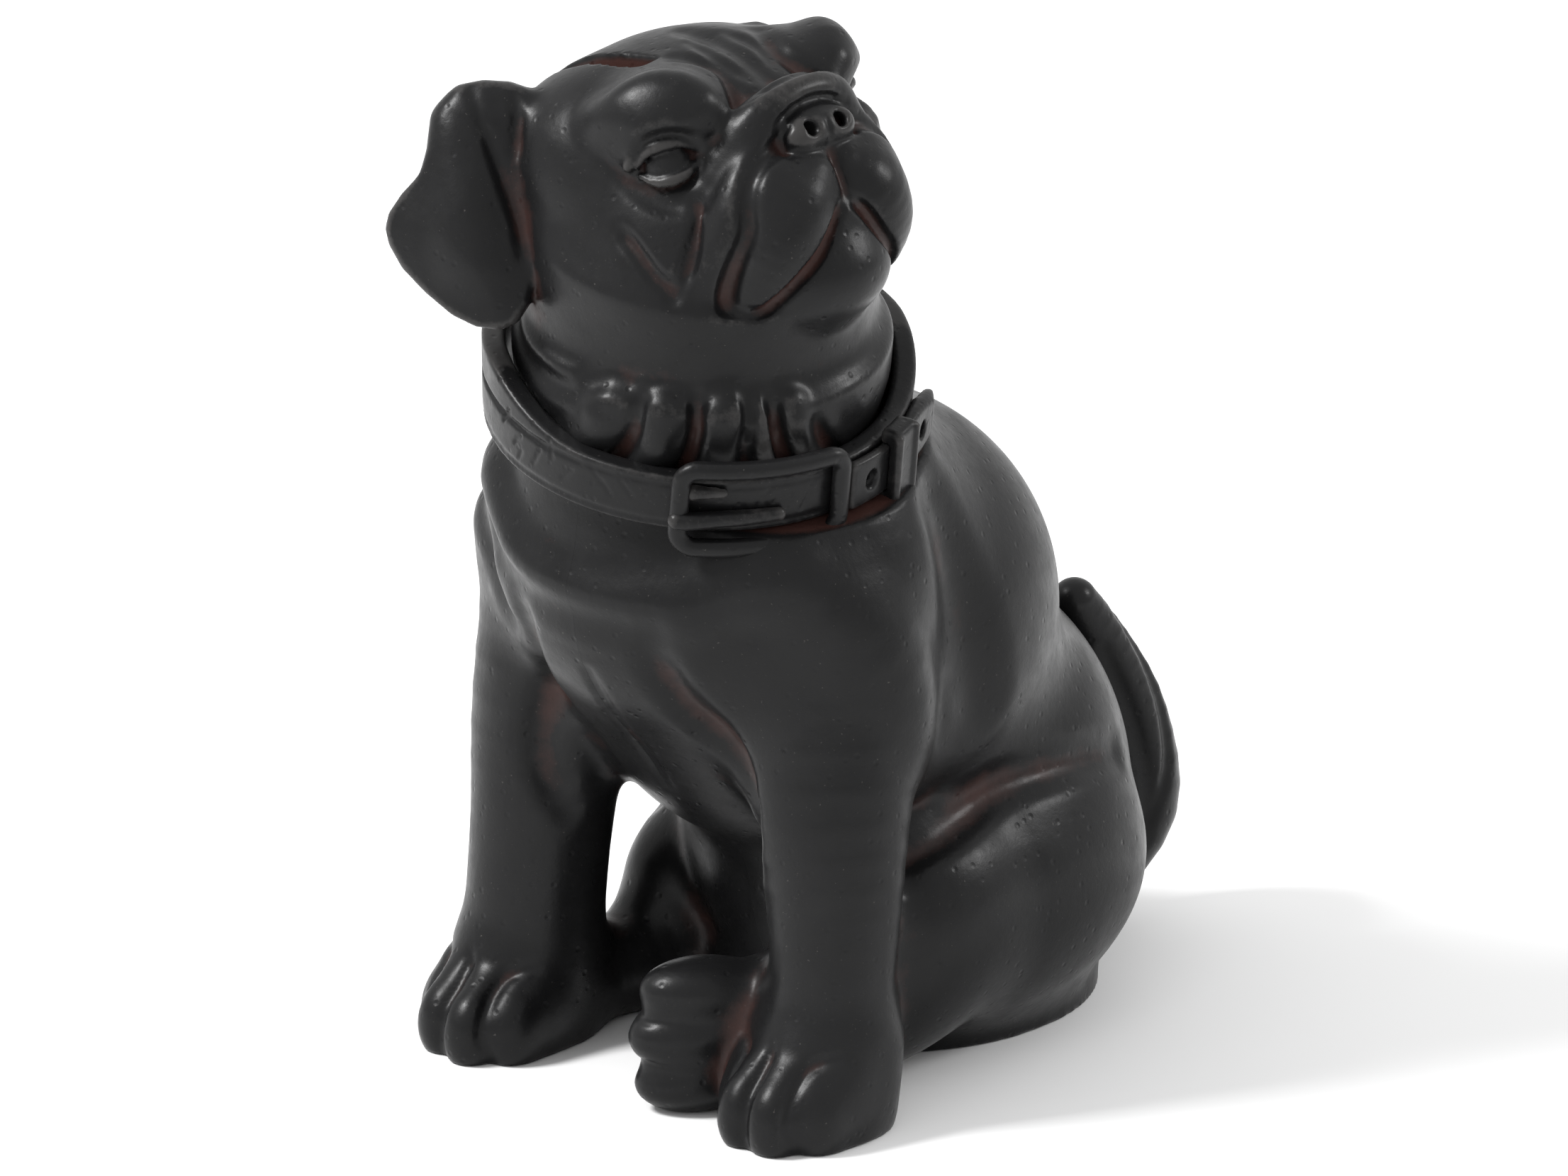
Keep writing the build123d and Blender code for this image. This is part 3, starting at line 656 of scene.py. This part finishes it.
def head_inside(clay):
    """Cavity, coin passage, spigot with its web and the coin slot."""
    m, o = neck_in(HEAD, HEAD_AT)
    clay.cut(column(m, o, 90, -90, 0))
    clay.add(column(m, o, BORE_RADIUS - 0.25, -SPIGOT_LENGTH, 3))
    clay.cut(ellipsoid((-2, 0, 0), (28, 26.5, 24)))
    clay.cut(column(m, o, PASSAGE_RADIUS, -SPIGOT_LENGTH - 5, 26))
    turn = np.array(Matrix.Rotation(math.radians(90 - BUCKLE_TURN), 3, "Z"))
    web_middle = o + m @ np.array([0, 0, -SPIGOT_LENGTH + 3])
    clay.add(block(web_middle, (PASSAGE_RADIUS + 1, 5, 3), m @ turn))
    clay.cut(column(m, o, 2.5, -30, 0))
    slot = HEAD.T @ (np.array((SLOT_AT[0], SLOT_AT[1], HEAD_AT[2] + 30)) - np.array(HEAD_AT))
    clay.cut(block(slot, (SLOT_SIZE[0] / 2, SLOT_SIZE[1] / 2, 30), HEAD.T))
    return clay


# ---------------------------------------------------------------- tail and collar

TAIL_LINE = ((4, 62, 11), (5, 74.3, 22.5), (5, 73.6, 39), (4.5, 67.3, 54), (4, 60.2, 65.6))
TAIL_RADII = (8.6, 9.2, 7.9, 6.1, 4.3)


def tail_clay(body):
    """Curled tail: its root is shaped to the rump, a tenon goes into the wall, and its tip stands free."""
    clay = Clay((-12, 44, -1), (20, 90, 76), TRIM_VOXEL)
    clay.add(strand(TAIL_LINE, TAIL_RADII))
    clay.crease([(9.5, 70, 18), (13.8, 76, 34), (11, 74, 52), (7.8, 69, 63)], 1.2, 0.7, 1.6)
    clay.crease([(12, 62, 14), (13.9, 70, 24), (12.6, 68, 40), (9, 63, 56)], 1.6, 0.6, 2.0)
    x, y, z = (ruler.reshape([-1 if i == j else 1 for j in range(3)]) for i, ruler in enumerate(clay.rulers))
    grid = np.stack(np.broadcast_arrays(x, y, z), -1).reshape(-1, 3)
    clay.d = np.maximum(clay.d, 0.25 - body.sample(grid).reshape(clay.d.shape))
    root = np.array([[1, 0, 0], [0, 0, -1], [0, 1, 0]], float)
    clay.add(column(root.T, (6.5, 0, 16), 3.4, 50, 64))
    clay.cut(block((4, 67, -10), (40, 40, 10)))
    return clay


def bent_bar(turn, length, radial, height, round_by, grow=0.0):
    """Rounded bar bent round the neck's axis. With no length it is a full ring, taller at the back by grow."""
    middle = (radial[0] + radial[1]) / 2
    half = np.array([(length or 0) / 2, (radial[1] - radial[0]) / 2, (height[1] - height[0]) / 2]) - round_by

    def field(x, y, z):
        angle = (np.arctan2(y, x) - math.radians(turn) + math.pi) % (2 * math.pi) - math.pi
        along = np.abs(angle * middle) - half[0] if length else angle * 0 - 1.0
        away = np.clip((np.abs(angle) - 0.85) / 0.9, 0, 1)
        extra = grow * away * away * (3 - 2 * away) / 2
        upright_gap = np.abs(z - (height[0] + height[1]) / 2 - extra) - half[2] - extra
        flare = 0.14 * grow * away * np.clip((z - height[0]) / (height[1] - height[0]), 0, 1.5)
        q = [along, np.abs(np.sqrt(x * x + y * y) - middle - flare) - half[1], upright_gap]
        return rounded(q) - round_by

    reach = np.array([radial[1], radial[1], 0.0])
    return field, -reach + [0, 0, height[0]], reach + [0, 0, height[1]]


def neck_point(turn, radius, up):
    """Place in the neck's frame at an angle round it, a distance out and a height."""
    return radius * math.cos(math.radians(turn)), radius * math.sin(math.radians(turn)), up


def neck_clay(turn, length, radius, height):
    """A block of the neck's frame big enough for a piece of the collar."""
    if length is None:
        low, high = (-radius, -radius, height[0]), (radius, radius, height[1])
    else:
        corners = [neck_point(turn + side * math.degrees(length / 2 / 39) * share, r, 0)
                   for side in (-1, 1) for share in (0, 0.5, 1) for r in (30, radius)]
        low = np.min(corners, 0) + [0, 0, height[0]]
        high = np.max(corners, 0) + [0, 0, height[1]]
    return Clay(np.array(low) - 2, np.array(high) + 2, TRIM_VOXEL, NECK, NECK_AT)


def strap_clay():
    """Leather-like band with soft edges, nicks and a shallow groove beside each edge."""
    clay = neck_clay(0, None, STRAP_OUTER + 3, (STRAP_LOW, STRAP_HIGH + 7))
    clay.add(bent_bar(0, None, (STRAP_INNER, STRAP_OUTER - 0.1), (STRAP_LOW, STRAP_HIGH), 1.1, 6.0))
    rng = np.random.default_rng(7)
    for turn in rng.uniform(0, 360, 70):
        up = rng.uniform(STRAP_LOW + 1, STRAP_HIGH - 1)
        lean, half = rng.uniform(-2.0, 2.0), rng.uniform(0.6, 2.2)
        line = [neck_point(turn + end * half, STRAP_OUTER + 0.2, up + end * lean) for end in (-1, 1)]
        clay.cut(strand(line, 0.42, 3), 0.3)
    for up in (STRAP_LOW + 1.5, STRAP_HIGH - 1.5):
        line = [neck_point(turn, STRAP_OUTER + 0.35, up) for turn in range(0, 361, 10)]
        clay.cut(strand(line, 0.6, 1), 0.6)
    return clay


def tip_clay():
    """Loose end of the strap, with a punched hole, lifting off the band at its end."""
    clay = neck_clay(48, 34, STRAP_OUTER + 7, (STRAP_LOW, STRAP_HIGH))
    height = (STRAP_LOW + 0.6, STRAP_HIGH - 0.6)
    clay.add(bent_bar(46, 28, (STRAP_OUTER + 0.05, STRAP_OUTER + 2.0), height, 0.8))
    for share in np.linspace(0, 1, 9):
        turn, lift = 58 + 13 * share, 1.9 * share ** 1.6
        middle = np.array(neck_point(turn, STRAP_OUTER + 1.05 + lift, (STRAP_LOW + STRAP_HIGH) / 2))
        height = 4.8 * (1 - 0.25 * share ** 3)
        clay.add(block(middle, (0.95, 2.4, height), turned(0, 0, turn + 4 * share), 0.7), 0.8)
    for turn in (33.5, 62.0):
        clay.cut(ellipsoid(neck_point(turn, STRAP_OUTER + 2, -0.6), (2.0, 1.5, 1.9), turned(0, 0, turn)), 0.5)
    return clay


def buckle_clay():
    """Rounded frame that follows the strap's curve."""
    clay = neck_clay(0, BUCKLE_SIZE[0] + 3, STRAP_OUTER + 4, (-11, 11))
    half = np.array([BUCKLE_SIZE[0] / 2 - 1.8, BUCKLE_SIZE[1] / 2 - 1.8])

    def frame_bar(x, y, z):
        along, radial = np.arctan2(y, x) * 40.5, np.sqrt(x * x + y * y) - 40.6
        q = [np.abs(along) - half[0] + 3.4, np.abs(z) - half[1] + 3.4]
        outline = rounded(q) - 3.4
        return np.sqrt((outline / 1.12) ** 2 + radial ** 2 + 0 * z) - 1.62

    clay.add(clay.whole(frame_bar))
    clay.cut(column(WORLD, (0, 0, 0), STRAP_OUTER + 0.02, -20, 20))
    return clay


def prong_clay():
    """Tongue from the buckle's near bar to its far one, with a stub beside it."""
    clay = neck_clay(-7, 24, STRAP_OUTER + 4, (-5, 5))
    line = [neck_point(turn, STRAP_OUTER + lift, -2.2) for turn, lift in
            ((-22.5, 2.6), (-19, 2.4), (-12, 1.3), (-4, 0.9), (4.5, 0.8))]
    clay.add(strand(line, [1.7, 1.7, 1.6, 1.5, 1.3]), 0.5)
    stub = [neck_point(-19, STRAP_OUTER + 0.9, 3.0), neck_point(-11, STRAP_OUTER + 0.4, 2.8)]
    clay.add(strand(stub, [1.5, 0.9]), 0.6)
    clay.cut(column(WORLD, (0, 0, 0), STRAP_OUTER + 0.02, -20, 20))
    return clay


def keeper_clay():
    """Loop over the band and its end, with a raised rim along each side."""
    clay = neck_clay(45, 9, STRAP_OUTER + 5, (-9, 8))
    clay.add(bent_bar(45, 7.4, (STRAP_OUTER - 0.4, STRAP_OUTER + 3.9), (-8.2, 7.2), 1.2))
    for side in (-1, 1):
        line = [neck_point(45 + side * 4.2, STRAP_OUTER + 3.7, up) for up in (-6.8, 0, 5.8)]
        clay.add(strand(line, 0.9), 0.8)
    clay.cut(bent_bar(45, 30, (20, STRAP_OUTER + 2.1), (STRAP_LOW + 0.4, STRAP_HIGH - 0.4), 0.4))
    clay.cut(column(WORLD, (0, 0, 0), STRAP_OUTER + 0.02, -20, 20))
    return clay


# ---------------------------------------------------------------- field to mesh

def blurred(field, cells):
    """Box blur of a field, along each axis."""
    for axis in range(3):
        padded = np.pad(field, [(cells + 1, cells) if i == axis else (0, 0) for i in range(3)], mode="edge")
        total = np.cumsum(padded, axis=axis, dtype=np.float64)
        last = [slice(None)] * 3
        first = [slice(None)] * 3
        last[axis], first[axis] = slice(2 * cells + 1, None), slice(None, -2 * cells - 1)
        field = ((total[tuple(last)] - total[tuple(first)]) / (2 * cells + 1)).astype(np.float32)
    return field


def relief_of(clay, points, reach):
    """Positive on ridges and edges, negative in creases: the blurred field's height at the surface."""
    cells = max(1, int(round(reach / clay.voxel)))
    soft = clay.blank()
    near = np.clip(clay.d, -4 * reach, 4 * reach)
    soft.d = blurred(blurred(near, cells), cells)
    return soft.sample(points)


def cast_mesh(clay, name, side=0, skin=None):
    """Meshes the field, or the half of it on one side of X = 0, and links it as an object in metres.

    skin is the same sculpt before it was hollowed, where the creases and the ridges are measured.
    """
    d = clay.d
    if side:
        plane = side * clay.rulers[0].reshape(-1, 1, 1)
        d = np.maximum(d, -plane + 0.01)
    band = 3 * clay.voxel
    grid = openvdb.FloatGrid(band)
    grid.copyFromArray(np.ascontiguousarray(np.clip(d, -band, band).astype(np.float32)))
    points, quads = grid.convertToQuads(0.0)
    points = np.asarray(points, float) * clay.voxel + clay.low
    if side:
        edge = (np.abs(points[:, 0]) < clay.voxel * 0.75) & (np.abs(clay.sample(points)) < clay.voxel * 0.75)
        points[edge, 0] = side * 0.01
        for _ in range(4):
            seam = points[edge]
            slope = clay.normal(seam) * [0, 1, 1]
            size = np.maximum((slope ** 2).sum(1, keepdims=True), 0.2)
            points[edge] = seam - slope / size * clay.sample(seam)[:, None]
    skin = skin or clay
    # The finer relief drives the painted highlight that makes ridges and edges paler; the coarser relief
    # drives the red-brown in the creases.
    painted_ridge_highlight, folds = relief_of(skin, points, 1.0), relief_of(skin, points, 3.0)
    world = points @ clay.axes.T + clay.origin + [0, SLIDE, 0]
    mesh = bpy.data.meshes.new(name)
    mesh.from_pydata((world * MM).tolist(), [], np.asarray(quads, int)[:, ::-1].tolist())
    mesh.polygons.foreach_set("use_smooth", [True] * len(mesh.polygons))
    mesh.set_sharp_from_angle(angle=math.radians(SHARP_ANGLE))
    for label, values in (("painted_ridge_highlight", painted_ridge_highlight), ("folds", folds)):
        mesh.attributes.new(label, "FLOAT", "POINT").data.foreach_set("value", values.astype(np.float32))
    mesh.update()
    piece = bpy.data.objects.new(name, mesh)
    bpy.context.scene.collection.objects.link(piece)
    return piece


def fit(piece, node, body, material):
    """Puts a casting in the place of its CAD node."""
    piece.data.materials.append(material)
    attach(piece, body)
    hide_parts(node)


def repaint(node, material):
    """Gives a CAD node that stays a better material."""
    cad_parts[node].data.materials.clear()
    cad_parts[node].data.materials.append(material)


# ---------------------------------------------------------------- materials

def shader(name):
    """A new material, its nodes, links and surface, and the place that its textures read."""
    material = bpy.data.materials.new(name)
    material.use_nodes = True
    nodes, links = material.node_tree.nodes, material.node_tree.links
    surface = nodes["Principled BSDF"]
    place = nodes.new("ShaderNodeTexCoord").outputs["Object"]
    return material, nodes, links, surface, place


def noise(nodes, links, place, scale, detail=4.0, rough=0.55):
    node = nodes.new("ShaderNodeTexNoise")
    node.inputs["Scale"].default_value = scale
    node.inputs["Detail"].default_value = detail
    node.inputs["Roughness"].default_value = rough
    links.new(place, node.inputs["Vector"])
    return node.outputs["Fac"]


def ramp(nodes, links, value, stops):
    node = nodes.new("ShaderNodeValToRGB")
    band = node.color_ramp
    for index, (at, colour) in enumerate(stops):
        stop = band.elements[index] if index < 2 else band.elements.new(at)
        stop.position = at
        stop.color = colour if len(colour) == 4 else (*colour, 1)
    links.new(value, node.inputs["Fac"])
    return node.outputs["Color"]


def grey(level):
    return level, level, level


def maths(nodes, links, kind, a, b):
    """One sum on two sockets, or on a socket and a number."""
    node = nodes.new("ShaderNodeMath")
    node.operation = kind
    for socket, value in zip(node.inputs, (a, b)):
        if isinstance(value, (int, float)):
            socket.default_value = value
        else:
            links.new(value, socket)
    return node.outputs[0]


def mixed(nodes, links, factor, a, b):
    node = nodes.new("ShaderNodeMix")
    node.data_type = "RGBA"
    links.new(factor, node.inputs[0])
    for socket, value in ((node.inputs[6], a), (node.inputs[7], b)):
        if isinstance(value, tuple):
            socket.default_value = (*value, 1)
        else:
            links.new(value, socket)
    return node.outputs[2]


def attribute(nodes, name):
    node = nodes.new("ShaderNodeAttribute")
    node.attribute_name = name
    return node.outputs["Fac"]


def black_iron(has_relief=True):
    """Satin black paint: red-brown in the creases, paler on the ridges as a painted highlight, pale specks as
    painted glints, finely pitted.
    """
    material, nodes, links, surface, place = shader("cast_black" if has_relief else "cast_black_plain")
    cloud = noise(nodes, links, place, 26, 6, 0.6)
    fine = noise(nodes, links, place, 620, 5, 0.7)
    paint = ramp(nodes, links, cloud, [(0.3, (0.0045, 0.0045, 0.0048)), (0.7, (0.0095, 0.0095, 0.0099))])
    # Painted glints: pale specks scattered at random in the base colour stand in for tiny specular glints in
    # the pits.
    speck = noise(nodes, links, place, 1500, 2, 0.5)
    painted_glints = ramp(nodes, links, speck, [(0.71, grey(0)), (0.78, grey(0.8))])
    paint = mixed(nodes, links, painted_glints, paint, (0.05, 0.047, 0.044))
    if has_relief:
        folds = attribute(nodes, "folds")
        patch = noise(nodes, links, place, 75, 7, 0.72)
        deep = maths(nodes, links, "MULTIPLY_ADD", folds, -0.5)
        deep.node.inputs[2].default_value = -0.26
        deep = maths(nodes, links, "ADD", deep, patch)
        brown = ramp(nodes, links, deep, [(0.44, grey(0)), (0.9, grey(0.8))])
        paint = mixed(nodes, links, brown, paint, (0.05, 0.022, 0.018))
        # Painted highlight: ridges and edges, found from the fine relief, are mixed towards a paler grey where
        # light would catch them.
        painted_ridge_highlight = attribute(nodes, "painted_ridge_highlight")
        ridge = maths(nodes, links, "MULTIPLY_ADD", painted_ridge_highlight, 1.7)
        ridge.node.inputs[2].default_value = -0.30
        ridge = maths(nodes, links, "ADD", ridge, maths(nodes, links, "MULTIPLY", fine, 0.7))
        pale = ramp(nodes, links, ridge, [(0.45, grey(0)), (0.75, grey(0.6))])
        paint = mixed(nodes, links, pale, paint, (0.045, 0.043, 0.042))
    links.new(paint, surface.inputs["Base Color"])
    patches = noise(nodes, links, place, 140, 8, 0.75)
    gloss = ramp(nodes, links, patches, [(0.3, grey(0.25)), (0.72, grey(0.44))])
    links.new(gloss, surface.inputs["Roughness"])
    surface.inputs["Specular IOR Level"].default_value = 0.18
    pits = nodes.new("ShaderNodeTexVoronoi")
    pits.inputs["Scale"].default_value = 330
    links.new(place, pits.inputs["Vector"])
    dots = ramp(nodes, links, pits.outputs["Distance"], [(0.0, grey(0)), (0.22, grey(1))])
    height = maths(nodes, links, "MULTIPLY_ADD", fine, 0.5)
    links.new(dots, height.node.inputs[2])
    coarse = maths(nodes, links, "MULTIPLY_ADD", noise(nodes, links, place, 170, 5, 0.6), 0.9)
    links.new(height, coarse.node.inputs[2])
    bump = nodes.new("ShaderNodeBump")
    bump.inputs["Strength"].default_value = 0.5
    bump.inputs["Distance"].default_value = 0.00018
    links.new(coarse, bump.inputs["Height"])
    links.new(bump.outputs["Normal"], surface.inputs["Normal"])
    return material


def dark_steel():
    """Blackened steel with turning marks, brighter where it is rubbed."""
    material, nodes, links, surface, place = shader("dark_steel")
    cloud = noise(nodes, links, place, 180, 6, 0.65)
    links.new(ramp(nodes, links, cloud, [(0.35, (0.07, 0.068, 0.066)), (0.7, (0.2, 0.19, 0.18))]),
              surface.inputs["Base Color"])
    surface.inputs["Metallic"].default_value = 1.0
    grain = noise(nodes, links, place, 900, 4, 0.6)
    links.new(ramp(nodes, links, grain, [(0.3, grey(0.32)), (0.7, grey(0.5))]), surface.inputs["Roughness"])
    bump = nodes.new("ShaderNodeBump")
    bump.inputs["Strength"].default_value = 0.3
    bump.inputs["Distance"].default_value = 0.00008
    links.new(grain, bump.inputs["Height"])
    links.new(bump.outputs["Normal"], surface.inputs["Normal"])
    return material


# ---------------------------------------------------------------- studio

def aimed(thing, place, target):
    thing.location = place
    thing.rotation_euler = (Vector(target) - Vector(place)).to_track_quat("-Z", "Y").to_euler()


def soft_light(name, place, size, power):
    data = bpy.data.lights.new(name, "AREA")
    data.shape, data.size, data.energy = "SQUARE", size, power
    lamp = bpy.data.objects.new(name, data)
    bpy.context.scene.collection.objects.link(lamp)
    aimed(lamp, place, (0, 0, 0.09))


def studio():
    """Plain pale floor, a white surround and two soft lights."""
    scene = bpy.context.scene
    bpy.ops.mesh.primitive_plane_add(size=8, location=(0, 0, 0))
    floor = bpy.context.object
    floor.name = "floor"
    material, nodes, links, surface, place = shader("pale_floor")
    tone = ramp(nodes, links, noise(nodes, links, place, 3), [(0.3, grey(0.86)), (0.7, grey(0.88))])
    links.new(tone, surface.inputs["Base Color"])
    surface.inputs["Roughness"].default_value = 0.9
    floor.data.materials.append(material)
    world = bpy.data.worlds.new("studio")
    world.use_nodes = True
    world.node_tree.nodes["Background"].inputs["Color"].default_value = (1, 1, 1, 1)
    world.node_tree.nodes["Background"].inputs["Strength"].default_value = 0.92
    scene.world = world
    scene.view_settings.view_transform = "Standard"
    right, up, back = view_axes(*VIEW)
    soft_light("key", STUDIO_MIDDLE + (-right * 0.8 + up * 0.75 + back * 0.5), 0.3, 17)
    soft_light("side", STUDIO_MIDDLE + (right * 0.95 + up * 0.5 + back * 0.1), 0.25, 3.5)


def view_axes(azimuth, elevation):
    """Right, up and back of a view."""
    a, e = math.radians(azimuth), math.radians(elevation)
    back = Vector((math.sin(a) * math.cos(e), -math.cos(a) * math.cos(e), math.sin(e)))
    right = Vector((math.cos(a), math.sin(a), 0))
    return right, back.cross(right), back


def camera():
    right, up, back = view_axes(*VIEW)
    data = bpy.data.cameras.new("camera")
    data.sensor_width, data.lens = 36, LENS
    data.clip_end = 20
    eye_at = bpy.data.objects.new("camera", data)
    bpy.context.scene.collection.objects.link(eye_at)
    across, above, behind = PICTURE_MIDDLE
    middle = (right * across + up * above + back * behind + Vector((0, SLIDE, 0))) * MM
    eye_at.location = middle + back * CAMERA_DISTANCE
    eye_at.rotation_euler = back.to_track_quat("Z", "Y").to_euler()
    bpy.context.scene.camera = eye_at


# ---------------------------------------------------------------- assembly

STEEL_NODES = (
    "neck_bridge", "neck_screw", "clamp_screws", "locating_pins", "trap_rivet", "lock_washer", "lock_screw",
)

rivet_low, rivet_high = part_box("trap_rivet")
SLIDE = (rivet_low.y + rivet_high.y) / 2 / MM - TRAP_PIVOT[1]

camera()
studio()
iron, plain_iron, steel = black_iron(), black_iron(False), dark_steel()

body_skin = body_outside()
tail_piece = cast_mesh(tail_clay(body_skin), "tail_cast")
body = body_inside(body_skin.twin())
right_half = cast_mesh(body, "body_right_cast", -1, body_skin)
left_half = cast_mesh(body, "body_left_cast", 1, body_skin)
head_skin = head_outside()
head_piece = cast_mesh(head_inside(head_skin.twin()), "head_cast", 0, head_skin)

castings = [(right_half, "body_right"), (left_half, "body_left"), (head_piece, "head"), (tail_piece, "tail")]
for sculpt, name, node in (
    (strap_clay, "strap_cast", "collar_strap"),
    (tip_clay, "strap_end_cast", "collar_tip"),
    (buckle_clay, "buckle_cast", "buckle_frame"),
    (prong_clay, "prong_cast", "buckle_prong"),
    (keeper_clay, "keeper_cast", "keeper_loop"),
):
    castings.append((cast_mesh(sculpt(), name), node))
for piece, node in castings:
    fit(piece, node, "bank", iron)

for node in STEEL_NODES:
    repaint(node, steel)
repaint("trap_cover", plain_iron)
